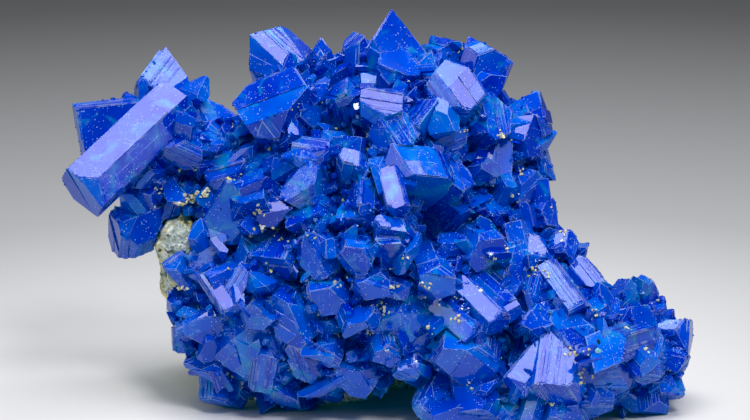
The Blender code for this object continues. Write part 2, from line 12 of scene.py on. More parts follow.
import bmesh
import bpy
import numpy as np
from mathutils import Matrix, Vector, noise
from mathutils.bvhtree import BVHTree


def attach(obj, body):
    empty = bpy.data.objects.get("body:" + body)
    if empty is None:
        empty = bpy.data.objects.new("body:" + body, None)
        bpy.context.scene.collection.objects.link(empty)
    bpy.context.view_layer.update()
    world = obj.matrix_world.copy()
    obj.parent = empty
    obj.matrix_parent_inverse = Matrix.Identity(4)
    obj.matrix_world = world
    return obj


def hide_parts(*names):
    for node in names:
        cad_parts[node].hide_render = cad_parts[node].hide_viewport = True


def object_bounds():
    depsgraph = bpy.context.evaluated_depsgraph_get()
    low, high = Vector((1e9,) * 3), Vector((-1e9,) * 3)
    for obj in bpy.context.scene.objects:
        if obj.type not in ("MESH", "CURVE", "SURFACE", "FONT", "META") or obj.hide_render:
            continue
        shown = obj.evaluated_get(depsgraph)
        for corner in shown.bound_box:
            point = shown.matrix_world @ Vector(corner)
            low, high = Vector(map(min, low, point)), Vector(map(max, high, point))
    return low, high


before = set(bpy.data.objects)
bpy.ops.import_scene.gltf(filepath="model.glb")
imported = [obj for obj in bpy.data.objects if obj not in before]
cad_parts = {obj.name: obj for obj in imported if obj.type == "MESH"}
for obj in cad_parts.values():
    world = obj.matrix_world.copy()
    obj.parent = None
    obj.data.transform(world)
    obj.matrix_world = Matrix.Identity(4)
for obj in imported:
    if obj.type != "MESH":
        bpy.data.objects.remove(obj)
solid_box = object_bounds()
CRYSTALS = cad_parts["chalcanthite_crystals"]
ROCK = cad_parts["host_rock"]
print("the solid model's box:", [[round(v, 4) for v in corner] for corner in solid_box])

# %% [markdown]
# ## Places on the photographer's view
#
# The model was planned on a front view that looks down by 14 degrees from 600 mm away. A place on it is
# across, up and towards the viewer, in millimetres, so the same three numbers place a small crystal here.

# %% Measures and the front view
MM = 0.001
SEED = 41
VIEW_TILT = math.radians(14.0)
VIEW_DISTANCE = 600.0
VIEW_WIDTH = 120.0
VIEW_CENTRE = (0.48, 35.2)
MODEL_SHIFT = Vector((-1.47, -6.77, -3.3))

ACROSS = Vector((1.0, 0.0, 0.0))
UP = Vector((0.0, math.sin(VIEW_TILT), math.cos(VIEW_TILT)))
TOWARDS = Vector((0.0, -math.cos(VIEW_TILT), math.sin(VIEW_TILT)))
EYE = ACROSS * VIEW_CENTRE[0] + UP * VIEW_CENTRE[1] + TOWARDS * VIEW_DISTANCE


def on_view(across, up, towards):
    """Return the model's point, in metres, that the front view shows at this place."""
    nearer = (VIEW_DISTANCE - towards) / VIEW_DISTANCE
    beside = (across - VIEW_CENTRE[0]) * nearer + VIEW_CENTRE[0]
    above = (up - VIEW_CENTRE[1]) * nearer + VIEW_CENTRE[1]
    return (ACROSS * beside + UP * above + TOWARDS * towards + MODEL_SHIFT) * MM


def read_on_view(point):
    """Return where the front view shows a point of the model: across, up and towards, in millimetres."""
    place = Vector(point) / MM - MODEL_SHIFT
    towards = place.dot(TOWARDS)
    nearer = (VIEW_DISTANCE - towards) / VIEW_DISTANCE
    across = (place.dot(ACROSS) - VIEW_CENTRE[0]) / nearer + VIEW_CENTRE[0]
    up = (place.dot(UP) - VIEW_CENTRE[1]) / nearer + VIEW_CENTRE[1]
    return across, up, towards


print("the eye is at", [round(v, 1) for v in EYE], "mm before the shift")

# %% [markdown]
# ## Colours
#
# Colours are written as sRGB hex, as a picture editor shows them, and turned to the linear values that the
# shader works with.

# %% One function for colours, one for nodes
HEX_STARTS = (0, 2, 4)


def linear(code, alpha=1.0):
    """Turn an sRGB hex colour to linear RGBA."""
    found = []
    for start in HEX_STARTS:
        value = int(code[start:start + 2], 16) / 255.0
        found.append(value / 12.92 if value <= 0.04045 else ((value + 0.055) / 1.055) ** 2.4)
    return (*found, alpha)


def add_node(tree, kind, values=None, links=None, **settings):
    """Add a shader node, set its options and input values, and link other sockets to its inputs."""
    made = tree.nodes.new(kind)
    for name, value in settings.items():
        setattr(made, name, value)
    for name, value in (values or {}).items():
        made.inputs[name].default_value = value
    for name, socket in (links or {}).items():
        tree.links.new(socket, made.inputs[name])
    return made


def set_ramp(node, stops):
    """Give a colour ramp its stops: place and colour."""
    ramp = node.color_ramp
    while len(ramp.elements) > 1:
        ramp.elements.remove(ramp.elements[-1])
    ramp.elements[0].position, ramp.elements[0].color = stops[0]
    for place, colour in stops[1:]:
        ramp.elements.new(place).color = colour


print("sRGB mid grey 808080 is linear", round(linear("808080")[0], 3))

# %% [markdown]
# ## Glassy copper sulfate
#
# Real chalcanthite is clear to cloudy, with a glassy surface, an index of refraction of 1.53 and a colour
# that deepens with the thickness that light goes through. So most of the look is the shader's transmission
# with an absorption that eats red first and green next. The cloudy share stays as a blue body colour, which
# differs from crystal to crystal. White pits and dust of about 0.2 mm, bright chips along the edges and a
# dull bloom here and there come from noise that is scaled in millimetres.

# %% Blues
BLUES = [
    (0.0, linear("001EC0")),
    (0.30, linear("003EDC")),
    (0.62, linear("005AF0")),
    (0.86, linear("0A78FA")),
    (1.0, linear("28AAFA")),
]
TEAL = linear("28A5DC")
VEIN_BLUE = linear("8CB4FF")
CHIP_BLUE = linear("CDDCFF")
DEEP_WATER = linear("00A6F2")
FACING_STEP = (0.07, 0.07, 0.07)
OWN_SHARE = 0.62
CLOUD_SHARE = 0.42
TEAL_SHARE = 0.75
SWIRLS = {"Scale": 210.0, "Detail": 5.0, "Distortion": 1.2}


def body_colour(tree, place, clouds, tint):
    """Return the cloudy share's blue: its own for each piece or face, paler in clouds, teal in places."""
    if tint:
        own = add_node(tree, "ShaderNodeAttribute", attribute_name=tint).outputs["Fac"]
    else:
        facing = add_node(tree, "ShaderNodeNewGeometry").outputs["True Normal"]
        coarse = add_node(tree, "ShaderNodeVectorMath", {1: FACING_STEP}, {0: facing}, operation="SNAP")
        own = add_node(
            tree, "ShaderNodeTexWhiteNoise", links={"Vector": coarse.outputs["Vector"]}
        ).outputs["Value"]
    own_part = add_node(tree, "ShaderNodeMath", {1: OWN_SHARE}, {0: own}, operation="MULTIPLY")
    shade = add_node(
        tree,
        "ShaderNodeMapRange",
        {"From Min": 0.3, "From Max": 0.7, "To Min": 0.0, "To Max": CLOUD_SHARE},
        {"Value": clouds},
    )
    depth = add_node(
        tree,
        "ShaderNodeMath",
        links={0: own_part.outputs["Value"], 1: shade.outputs["Result"]},
        operation="ADD",
    )
    blue = add_node(tree, "ShaderNodeValToRGB", links={"Fac": depth.outputs["Value"]})
    set_ramp(blue, BLUES)
    inside = add_node(tree, "ShaderNodeTexNoise", SWIRLS, {"Vector": place})
    teal_share = add_node(
        tree,
        "ShaderNodeMapRange",
        {"From Min": 0.57, "From Max": 0.72, "To Min": 0.0, "To Max": TEAL_SHARE},
        {"Value": inside.outputs["Fac"]},
    )
    return add_node(
        tree,
        "ShaderNodeMixRGB",
        {"Color2": TEAL},
        {"Fac": teal_share.outputs["Result"], "Color1": blue.outputs["Color"]},
    ).outputs["Color"]


print("blues from deep to pale:", len(BLUES))

# %% Healed cracks
CRACKS = {"Scale": 340.0, "Detail": 3.0, "Distortion": 0.8}
CRACK_EDGES = (0.012, 0.002)
CRACK_SHARE = 0.8


def healed_cracks(tree, place, clouds, colour):
    """Return the colour with thin pale lines in it, where old cracks healed. They gather in the clouds."""
    ridges = add_node(tree, "ShaderNodeTexNoise", CRACKS, {"Vector": place})
    from_ridge = add_node(tree, "ShaderNodeMath", {1: 0.5}, {0: ridges.outputs["Fac"]}, operation="SUBTRACT")
    near = add_node(tree, "ShaderNodeMath", links={0: from_ridge.outputs["Value"]}, operation="ABSOLUTE")
    line = add_node(
        tree,
        "ShaderNodeMapRange",
        {"From Min": CRACK_EDGES[0], "From Max": CRACK_EDGES[1], "To Min": 0.0, "To Max": CRACK_SHARE},
        {"Value": near.outputs["Value"]},
    )
    patch = add_node(
        tree,
        "ShaderNodeMapRange",
        {"From Min": 0.47, "From Max": 0.60, "To Min": 0.0, "To Max": 1.0},
        {"Value": clouds},
    )
    veined = add_node(
        tree,
        "ShaderNodeMath",
        links={0: line.outputs["Result"], 1: patch.outputs["Result"]},
        operation="MULTIPLY",
    )
    return add_node(
        tree, "ShaderNodeMixRGB", {"Color2": VEIN_BLUE}, {"Fac": veined.outputs["Value"], "Color1": colour}
    ).outputs["Color"]


print("cracks bend every", round(1.0 / (CRACKS["Scale"] * MM), 1), "mm or so")

# %% Chipped edges in the shader
BITES = {"Scale": 420.0, "Detail": 3.0}


def chipped_edges(tree, place, rounded):
    """Return 1 where an edge is chipped and bright: where the rounded normal leaves the face's own."""
    flat = add_node(tree, "ShaderNodeNewGeometry").outputs["Normal"]
    bend = add_node(tree, "ShaderNodeVectorMath", links={0: rounded, 1: flat}, operation="DOT_PRODUCT")
    edge = add_node(
        tree,
        "ShaderNodeMapRange",
        {"From Min": 0.99, "From Max": 0.93, "To Min": 0.0, "To Max": 1.0},
        {"Value": bend.outputs["Value"]},
    )
    broken = add_node(tree, "ShaderNodeTexNoise", BITES, {"Vector": place})
    bitten = add_node(
        tree,
        "ShaderNodeMapRange",
        {"From Min": 0.45, "From Max": 0.56, "To Min": 0.0, "To Max": 1.0},
        {"Value": broken.outputs["Fac"]},
    )
    return add_node(
        tree,
        "ShaderNodeMath",
        links={0: edge.outputs["Result"], 1: bitten.outputs["Result"]},
        operation="MULTIPLY",
    ).outputs["Value"]


print("edges are bitten every", round(1.0 / (BITES["Scale"] * MM), 1), "mm or so")

# %% Dust and pits
PITS_PER_METRE = 2900.0
PIT_REACH = 0.40
PIT_MARGIN = 0.06
SWARMS = {"Scale": 260.0, "Detail": 5.0}


def dust_and_pits(tree, place, share):
    """Return how white a place is with dust or a pit. They are under 0.3 mm wide and gather in swarms."""
    pits = add_node(tree, "ShaderNodeTexVoronoi", {"Scale": PITS_PER_METRE}, {"Vector": place})
    chances = add_node(tree, "ShaderNodeSeparateColor", links={"Color": pits.outputs["Color"]})
    reach = {1: -PIT_REACH, 2: PIT_MARGIN}
    width = add_node(tree, "ShaderNodeMath", reach, {0: chances.outputs["Red"]}, operation="MULTIPLY_ADD")
    depth = add_node(
        tree,
        "ShaderNodeMath",
        links={0: pits.outputs["Distance"], 1: width.outputs["Value"]},
        operation="ADD",
    )
    pit = add_node(
        tree,
        "ShaderNodeMapRange",
        {"From Min": 0.03, "From Max": -0.06, "To Min": 0.0, "To Max": 1.0},
        {"Value": depth.outputs["Value"]},
    )
    faint = add_node(
        tree,
        "ShaderNodeMath",
        links={0: pit.outputs["Result"], 1: chances.outputs["Green"]},
        operation="MULTIPLY",
    )
    swarm = add_node(tree, "ShaderNodeTexNoise", SWARMS, {"Vector": place})
    gathered = add_node(
        tree,
        "ShaderNodeMapRange",
        {"From Min": 0.55 - share, "From Max": 0.60 - share, "To Min": 0.0, "To Max": 1.0},
        {"Value": swarm.outputs["Fac"]},
    )
    return add_node(
        tree,
        "ShaderNodeMath",
        links={0: faint.outputs["Value"], 1: gathered.outputs["Result"]},
        operation="MULTIPLY",
    ).outputs["Value"]


print("pits are about", round(1.0 / (PITS_PER_METRE * MM), 2), "mm apart in a swarm")

# %% Relief
WAVES = {"Scale": 330.0, "Detail": 4.0}
WAVE_HEIGHT = 0.15 * MM
SCUFFS = {"Scale": 2400.0, "Detail": 3.0}
SCUFF_HEIGHT = 0.03 * MM


def fine_relief(tree, place, rounded):
    """Return the normal with the low waves of growth and, over them, a scuff too fine to see one by one."""
    waves = add_node(tree, "ShaderNodeTexNoise", WAVES, {"Vector": place})
    waved = add_node(
        tree,
        "ShaderNodeBump",
        {"Strength": 0.30, "Distance": WAVE_HEIGHT},
        {"Height": waves.outputs["Fac"], "Normal": rounded},
    )
    scuffs = add_node(tree, "ShaderNodeTexNoise", SCUFFS, {"Vector": place})
    return add_node(
        tree,
        "ShaderNodeBump",
        {"Strength": 0.20, "Distance": SCUFF_HEIGHT},
        {"Height": scuffs.outputs["Fac"], "Normal": waved.outputs["Normal"]},
    ).outputs["Normal"]


print("waves of growth:", round(WAVE_HEIGHT / MM, 2), "mm, scuffs:", round(SCUFF_HEIGHT / MM, 2), "mm")

# %% The whole glass
REFRACTION = 1.53
CLOUDS = {"Scale": 140.0, "Detail": 4.0}
DUST_SHARE = 0.12
BLOOM = {"Scale": 90.0, "Detail": 5.0}
GLASSY, BLOOMED = 0.03, 0.12


def chalcanthite_glass(name, tint, transmission, density, edge_width, shine):
    """Make the glassy blue of chalcanthite. The tint is a piece's face attribute, or None for one by face."""
    made = bpy.data.materials.new(name)
    made.use_nodes = True
    tree = made.node_tree
    shader = tree.nodes["Principled BSDF"]
    shader.inputs["IOR"].default_value = REFRACTION
    shader.inputs["Transmission Weight"].default_value = transmission
    shader.inputs["Specular IOR Level"].default_value = shine
    place = add_node(tree, "ShaderNodeTexCoord").outputs["Object"]
    clouds = add_node(tree, "ShaderNodeTexNoise", CLOUDS, {"Vector": place}).outputs["Fac"]
    rounded = add_node(tree, "ShaderNodeBevel", {"Radius": edge_width * MM}, samples=4).outputs["Normal"]

    colour = healed_cracks(tree, place, clouds, body_colour(tree, place, clouds, tint))
    white = add_node(
        tree,
        "ShaderNodeMath",
        links={0: chipped_edges(tree, place, rounded), 1: dust_and_pits(tree, place, DUST_SHARE)},
        operation="MAXIMUM",
    ).outputs["Value"]
    worn = add_node(tree, "ShaderNodeMixRGB", {"Color2": CHIP_BLUE}, {"Fac": white, "Color1": colour})
    tree.links.new(worn.outputs["Color"], shader.inputs["Base Color"])

    dull = add_node(tree, "ShaderNodeTexNoise", BLOOM, {"Vector": place})
    gloss = add_node(
        tree,
        "ShaderNodeMapRange",
        {"From Min": 0.42, "From Max": 0.68, "To Min": GLASSY, "To Max": BLOOMED},
        {"Value": dull.outputs["Fac"]},
    )
    rougher = {0: gloss.outputs["Result"], 1: white}
    rough = add_node(tree, "ShaderNodeMath", links=rougher, operation="MAXIMUM")
    tree.links.new(rough.outputs["Value"], shader.inputs["Roughness"])
    tree.links.new(fine_relief(tree, place, rounded), shader.inputs["Normal"])

    depth = add_node(tree, "ShaderNodeVolumeAbsorption", {"Color": DEEP_WATER, "Density": density})
    tree.links.new(depth.outputs["Volume"], tree.nodes["Material Output"].inputs["Volume"])
    return made


cloudy_glass = chalcanthite_glass(
    "cloudy_chalcanthite", None, transmission=0.42, density=420.0, edge_width=0.16, shine=0.42
)
middling_glass = chalcanthite_glass(
    "middling_chalcanthite", "tint", transmission=0.50, density=600.0, edge_width=0.14, shine=0.31
)
clear_glass = chalcanthite_glass(
    "clear_chalcanthite", "tint", transmission=0.62, density=800.0, edge_width=0.10, shine=0.21
)
CRYSTALS.data.materials.clear()
CRYSTALS.data.materials.append(cloudy_glass)
for polygon in CRYSTALS.data.polygons:
    polygon.use_smooth = False
print("materials:", cloudy_glass.name, middling_glass.name, clear_glass.name)

# %% [markdown]
# ## Where small crystals grow
#
# On a real druse the small crystals sit in the corners between the large ones, and point where there is room.
# So places are drawn evenly over the solid's skin, short rays tell how closed in each place is, and the open
# rays give the direction to grow in.

# %% Places on the skin
RAY_REACH = 9.0 * MM
RAYS = 14
FAN_DEPTH = 0.92
NORMAL_PULL = 0.3
LIFT = 0.05 * MM

skin = BVHTree.FromPolygons(
    [vertex.co for vertex in CRYSTALS.data.vertices],
    [tuple(polygon.vertices) for polygon in CRYSTALS.data.polygons],
)
rock_skin = BVHTree.FromPolygons(
    [vertex.co for vertex in ROCK.data.vertices], [tuple(polygon.vertices) for polygon in ROCK.data.polygons]
)


def skin_places(made, count, chance):
    """Return points and normals that are spread evenly by area over a mesh."""
    corners = np.array([vertex.co for vertex in made.data.vertices])
    made.data.calc_loop_triangles()
    triangles = np.array([triangle.vertices for triangle in made.data.loop_triangles])
    a, b, c = (corners[triangles[:, i]] for i in range(3))
    normals = np.cross(b - a, c - a)
    areas = np.linalg.norm(normals, axis=1)
    steps = np.cumsum(areas) / areas.sum()
    found = []
    for _ in range(count):
        row = min(int(np.searchsorted(steps, chance.random())), len(triangles) - 1)
        u, v = chance.random(), chance.random()
        if u + v > 1.0:
            u, v = 1.0 - u, 1.0 - v
        point = a[row] + (b[row] - a[row]) * u + (c[row] - a[row]) * v
        found.append((Vector(point), Vector(normals[row] / areas[row])))
    return found


def ray_fan(count):
    """Return unit vectors spread evenly over the half of a sphere that looks along +Z."""
    golden = math.pi * (3.0 - math.sqrt(5.0))
    found = []
    for index in range(count):
        height = 1.0 - (index + 0.5) / count * FAN_DEPTH
        ring = math.sqrt(1.0 - height * height)
        found.append(Vector((math.cos(golden * index) * ring, math.sin(golden * index) * ring, height)))
    return found


FAN = ray_fan(RAYS)


def room_at(point, normal):
    """Return how closed in a place is, from 0 for open to 2 at most, and the way in which it is open."""
    start = point + normal * LIFT
    turn = normal.to_track_quat("Z", "Y")
    closed, open_way = 0.0, normal * NORMAL_PULL
    for ray in FAN:
        way = turn @ ray
        hit = skin.ray_cast(start, way, RAY_REACH)
        if hit[0] is None:
            hit = rock_skin.ray_cast(start, way, RAY_REACH)
        if hit[0] is None:
            open_way += way / RAYS
        else:
            closed += (1.0 - hit[3] / RAY_REACH) / RAYS
    return closed * 2.0, open_way.normalized()


print("rays from each place:", len(FAN))

# %% [markdown]
# ## Small crystals
#
# Each is a block that is cleaved by a few oblique planes, like the large ones. A few dozen shapes are cut
# once, then stretched, turned and planted many times, so that all of them fit in one mesh.

# %% Cut the shapes
SHAPES = 40
SIDE_CLOCKS = (0.0, 57.0, 128.0, 180.0, 236.0, 305.0)
POINTED_SLOPES = (34.0, 58.0)
BLUNT_SLOPES = (24.0, 58.0)
BLUNT_DROPS = (0.04, 0.22)


def cleave(mesh, point, normal):
    """Cut a convex mesh with a plane, keep the part behind it, and close it with one flat face."""
    cut = bmesh.ops.bisect_plane(
        mesh,
        geom=mesh.verts[:] + mesh.edges[:] + mesh.faces[:],
        plane_co=point,
        plane_no=normal,
        clear_outer=True,
        dist=1e-4,
    )
    edges = [item for item in cut["geom_cut"] if isinstance(item, bmesh.types.BMEdge) and item.is_boundary]
    if edges:
        bmesh.ops.edgenet_fill(mesh, edges=edges)


def small_shape(chance, pointed):
    """Cut a crystal of unit size that points along +Z, its tip at the origin. Return points and faces."""
    mesh = bmesh.new()
    bmesh.ops.create_cube(mesh, size=1.0)
    bmesh.ops.translate(mesh, verts=mesh.verts, vec=(0.0, 0.0, -0.5))
    start = chance.uniform(0.0, 360.0)
    for clock in SIDE_CLOCKS:
        angle = math.radians(start + clock + chance.uniform(-9.0, 9.0))
        normal = Vector((math.cos(angle), math.sin(angle), 0.0))
        cleave(mesh, normal * chance.uniform(0.30, 0.50), normal)
    ends = chance.choice((2, 3)) if pointed else chance.choice((1, 2))
    first = chance.uniform(0.0, 360.0)
    for index in range(ends):
        angle = math.radians(first + index * 360.0 / ends + chance.uniform(-35.0, 35.0))
        slope = math.radians(chance.uniform(*(POINTED_SLOPES if pointed else BLUNT_SLOPES)))
        tilt = math.sin(slope)
        normal = Vector((math.cos(angle) * tilt, math.sin(angle) * tilt, math.cos(slope)))
        drop = 0.0 if pointed else chance.uniform(*BLUNT_DROPS)
        outward = Vector((math.cos(angle), math.sin(angle), 0.0)) * drop
        cleave(mesh, Vector((0.0, 0.0, -drop * 0.4)) + outward, normal)
    bmesh.ops.recalc_face_normals(mesh, faces=mesh.faces)
    mesh.verts.index_update()
    points = np.array([vertex.co for vertex in mesh.verts])
    faces = [[vertex.index for vertex in face.verts] for face in mesh.faces]
    mesh.free()
    return points, faces


shape_chance = random.Random(SEED)
POINTED_SHAPES = [small_shape(shape_chance, True) for _ in range(SHAPES // 2)]
BLUNT_SHAPES = [small_shape(shape_chance, False) for _ in range(SHAPES // 2)]
print("shapes cut:", len(POINTED_SHAPES) + len(BLUNT_SHAPES))

# %% Gather many small solids in one piece
BOX_MARGIN = 0.2 * MM
BOX_LOW = np.array(solid_box[0]) - BOX_MARGIN
BOX_HIGH = np.array(solid_box[1]) + BOX_MARGIN


class Gathering:
    """Collects small solids, each with its own tint, and turns them into one mesh object."""

    def __init__(self):
        self.points, self.faces, self.tints, self.count, self.solids = [], [], [], 0, 0

    def add(self, points, faces, tint):
        """Add one solid, unless it leaves the specimen's box."""
        if (points < BOX_LOW).any() or (points > BOX_HIGH).any() or points[:, 2].min() < LIFT:
            return False
        self.points.append(points)
        self.faces.extend([[index + self.count for index in face] for face in faces])
        self.tints.extend([tint] * len(faces))
        self.count += len(points)
        self.solids += 1
        return True

    def piece(self, name, surface):
        """Make the mesh object, with its material, and let it ride with the specimen."""
        data = bpy.data.meshes.new(name)
        data.from_pydata(np.concatenate(self.points).tolist(), [], self.faces)
        data.attributes.new("tint", "FLOAT", "FACE").data.foreach_set("value", self.tints)
        if surface:
            data.materials.append(surface)
        made = bpy.data.objects.new(name, data)
        bpy.context.scene.collection.objects.link(made)
        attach(made, "root")
        triangles = sum(len(face) - 2 for face in self.faces)
        print(f"{name}: {self.solids} solids, {triangles} triangles")
        return made


def planted(shape, tip, along, spin, size):
    """Stretch, turn and place a unit shape: its tip, direction, spin and (width, thickness, length)."""
    turn = (along.to_track_quat("Z", "Y").to_matrix() @ Matrix.Rotation(spin, 3, "Z")) @ Matrix.Diagonal(size)
    return shape[0] @ np.array(turn).T + np.array(tip), shape[1]


print("small solids stay within", np.round((BOX_HIGH - BOX_LOW) / MM, 1), "mm")

# %% [markdown]
# Some faces stay open on the photograph: the large flat ones that shine. Nothing is planted on those. Each
# row gives a face's place on the front view, across and up, and the reach round it that stays bare, all in
# millimetres. The dark hollow right of the middle stays open too.

# %% Faces that stay clear
CLEAR_FACES = [
    (-39, 47, 7.5), (-46, 38, 4.5), (-15, 60.5, 4.2), (-17, 53, 5.5), (13.9, 55.2, 4.6), (1.6, 52.6, 3.6),
    (7.4, 43, 5.0), (26, 47.5, 2.6), (-18, 38, 3.2), (-23, 41.5, 2.8), (-2.7, 27, 2.8), (10.3, 23.3, 2.8),
    (34.4, 25.2, 2.6), (29.6, 9, 4.2), (3, 38.6, 2.6), (3.4, 32.5, 2.2), (3, 60, 4.0), (43.5, 14.5, 3.2),
    (-24, 8, 3.4), (-16.5, 6.5, 2.6), (14.4, 9.6, 3.6), (31, 17, 2.8), (19, 18, 2.4), (26.2, 29.2, 2.2),
]
DARK_HOLLOW = (11.5, 32.0, 4.2, 6.6)
HOLLOW_RIM = 14.0
TURNED_AWAY = 0.15


def stays_clear(point, normal):
    """Tell whether a place is on a face that the front view shows bare, or down in the dark hollow."""
    across, up, towards = read_on_view(point)
    middle, height, half_width, half_height = DARK_HOLLOW
    if towards < HOLLOW_RIM and math.hypot((across - middle) / half_width, (up - height) / half_height) < 1.0:
        return True
    if normal.dot(TOWARDS) < TURNED_AWAY:
        return False
    return any(math.hypot(across - row[0], up - row[1]) < row[2] for row in CLEAR_FACES)


print("faces that stay bare:", len(CLEAR_FACES))

# %% [markdown]
# Three sizes are planted, the large ones first: middling crystals, small ones and shards. For each size, need
# says how closed in a place has to be, bias how fast the chance of a crystal grows beyond that, and spacing
# how far apart two of them keep, as a share of their widths.

# %% Plant the middling crystals
PROUD_SHARE = (0.30, 0.58)
LOWEST = 0.8 * MM
FACES_DOWN = -0.9
SLANTED_MOST = 0.2
chance = random.Random(SEED + 1)


def plant(gathering, tries, widths, length_share, need, bias, spacing, spread, pointed_share):
    """Plant crystals in places that are closed in by more than need. Wider ones keep further apart."""
    kept = []
    for point, normal in skin_places(CRYSTALS, tries, chance):
        if point.z < LOWEST or normal.z < FACES_DOWN or stays_clear(point, normal):
            continue
        closed, open_way = room_at(point, normal)
        if chance.random() > (closed - need) * bias:
            continue
        width = (widths[0] + (widths[1] - widths[0]) * chance.random() ** 1.8) * MM
        if any((point - other).length < (width + wide) * spacing for other, wide in kept):
            continue
        jitter = Vector([chance.gauss(0.0, spread) for _ in range(3)])
        along = (normal * 0.5 + open_way + jitter).normalized()
        if along.dot(normal) < SLANTED_MOST:
            continue
        length = width * chance.uniform(*length_share)
        proud = length * chance.uniform(*PROUD_SHARE)
        inner = skin.ray_cast(point - normal * LIFT, -along, length)
        buried = length - proud if inner[0] is None else min(length - proud, inner[3] * 0.8)
        size = (width, width * chance.uniform(0.45, 1.0), proud + buried)
        shape = chance.choice(POINTED_SHAPES if chance.random() < pointed_share else BLUNT_SHAPES)
        tip = point + along * proud
        if gathering.add(*planted(shape, tip, along, chance.uniform(0.0, math.tau), size), chance.random()):
            kept.append((point, width))


middling = Gathering()
plant(
    middling,
    3000,
    widths=(2.6, 6.2),
    length_share=(1.3, 2.2),
    need=0.36,
    bias=1.3,
    spacing=0.50,
    spread=0.20,
    pointed_share=0.35,
)
middling_crystals = middling.piece("middling_crystals", middling_glass)

# %% Plant the small crystals
small = Gathering()
plant(
    small,
    8000,
    widths=(0.7, 2.4),
    length_share=(1.2, 2.8),
    need=0.28,
    bias=1.7,
    spacing=0.40,
    spread=0.28,
    pointed_share=0.35,
)
small_crystals = small.piece("small_crystals", clear_glass)

# %% Plant the shards
shards = Gathering()
plant(
    shards,
    9000,
    widths=(0.25, 0.95),
    length_share=(0.9, 2.6),
    need=0.02,
    bias=1.1,
    spacing=0.45,
    spread=0.8,
    pointed_share=0.4,
)
shards.piece("crystal_shards", clear_glass)

# %% [markdown]
# ## Growth plates
#
# Large faces of chalcanthite aren't one plane. Thin layers stop short of the edges and leave low steps, and
# narrow ones run along the crystal as ribs. Each flat area of the solid gets a few thin plates that lie on
# it, tipped by a degree or so, so that neighbouring layers mirror the light differently.

# %% Find the flat faces
FLAT = 0.9999
PLATED_AREA = 3.0 * MM * MM
MICRON = 0.001 * MM
corners = [vertex.co for vertex in CRYSTALS.data.vertices]
polygons = list(CRYSTALS.data.polygons)


def point_key(point):
    """Name a corner by its place, because the model's triangles don't share their corners."""
    return tuple(round(v / MICRON) for v in point)


def flat_faces():
    """Return groups of neighbouring polygons that lie in one plane."""
    keys = {}
    for polygon in polygons:
        for key in polygon.edge_keys:
            ends = tuple(sorted(point_key(corners[i]) for i in key))
            keys.setdefault(ends, []).append(polygon.index)
    beside = {polygon.index: set() for polygon in polygons}
    for pair in keys.values():
        for first in pair:
            for second in pair:
                if first != second and polygons[first].normal.dot(polygons[second].normal) > FLAT:
                    beside[first].add(second)
    waiting = set(beside)
    groups = []
    while waiting:
        group = [waiting.pop()]
        for index in group:
            near = beside[index] & waiting
            waiting -= near
            group.extend(near)
        groups.append(group)
    return groups


FLATS = [group for group in flat_faces() if sum(polygons[i].area for i in group) > PLATED_AREA]
print("flat faces that get plates:", len(FLATS))

# %% The outline of a flat face
STRAIGHT = 1e-12
HOLLOWED = 1.10


def outline_of(group):
    """Return a flat face's convex outline, or None where the face is hollowed by its neighbours."""
    normal = polygons[group[0]].normal.copy()
    points = {point_key(corners[i]): corners[i] for index in group for i in polygons[index].vertices}
    points = list(points.values())
    middle = sum(points, Vector()) / len(points)
    right = (max(points, key=lambda point: (point - middle).length) - middle).normalized()
    above = normal.cross(right)
    flat = sorted(((p - middle).dot(right), (p - middle).dot(above)) for p in points)
    halves = []
    for run in (flat, flat[::-1]):
        half = []
        for spot in run:
            while len(half) > 1:
                (ax, ay), (bx, by) = half[-2], half[-1]
                if (bx - ax) * (spot[1] - ay) - (by - ay) * (spot[0] - ax) > STRAIGHT:
                    break
                half.pop()
            half.append(spot)
        halves.extend(half[:-1])
    ring = [middle + right * x + above * y for x, y in halves]
    area = sum((ring[i - 1] - middle).cross(ring[i] - middle).dot(normal) for i in range(len(ring))) / 2.0
    solid = sum(polygons[i].area for i in group)
    return (ring, normal) if len(ring) > 2 and area < solid * HOLLOWED else None


def clip(ring, place, way):
    """Keep the part of an outline behind a line, which is given by a place on it and the way across it."""
    kept = []
    for index, here in enumerate(ring):
        before = ring[index - 1]
        first, second = (before - place).dot(way), (here - place).dot(way)
        if (first < 0.0) != (second < 0.0):
            kept.append(before.lerp(here, first / (first - second)))
        if second < 0.0:
            kept.append(here)
    return kept


print("flat faces with a convex outline:", sum(outline_of(group) is not None for group in FLATS))

# %% Lay terraces and ribs
INSET = 0.10 * MM
LEAST_REACH = 0.12 * MM
TOP_INSET = 0.05 * MM
LEAST_HEIGHT = 0.02 * MM
SLAB_TILT = 0.016
STEP_HEIGHTS = (0.06, 0.20)
RIB_WIDTHS = (0.18, 0.7)
RIB_HEIGHTS = (0.05, 0.16)
plate_chance = random.Random(SEED + 2)


def slab(gathering, ring, normal, height):
    """Lay one thin layer over an outline, a little smaller at the top and tipped by about a degree."""
    count = len(ring)
    middle = sum(ring, Vector()) / count
    reach = min((point - middle).length for point in ring)
    if reach < LEAST_REACH:
        return
    tip = Vector([plate_chance.gauss(0.0, SLAB_TILT) for _ in range(3)])
    low = [point - normal * LIFT for point in ring]
    high = []
    for point in ring:
        pulled = point.lerp(middle, min(0.3, TOP_INSET / reach))
        high.append(pulled + normal * max(height + (pulled - middle).dot(tip), LEAST_HEIGHT))
    faces = [list(range(count, 2 * count)), list(range(count - 1, -1, -1))]
    faces += [[i, (i + 1) % count, count + (i + 1) % count, count + i] for i in range(count)]
    gathering.add(np.array([list(point) for point in low + high]), faces, plate_chance.random())


def inset(ring, middle):
    """Draw an outline in towards its middle, so that a layer stops short of the face's edges."""
    return [point.lerp(middle, min(0.4, INSET / (point - middle).length)) for point in ring]


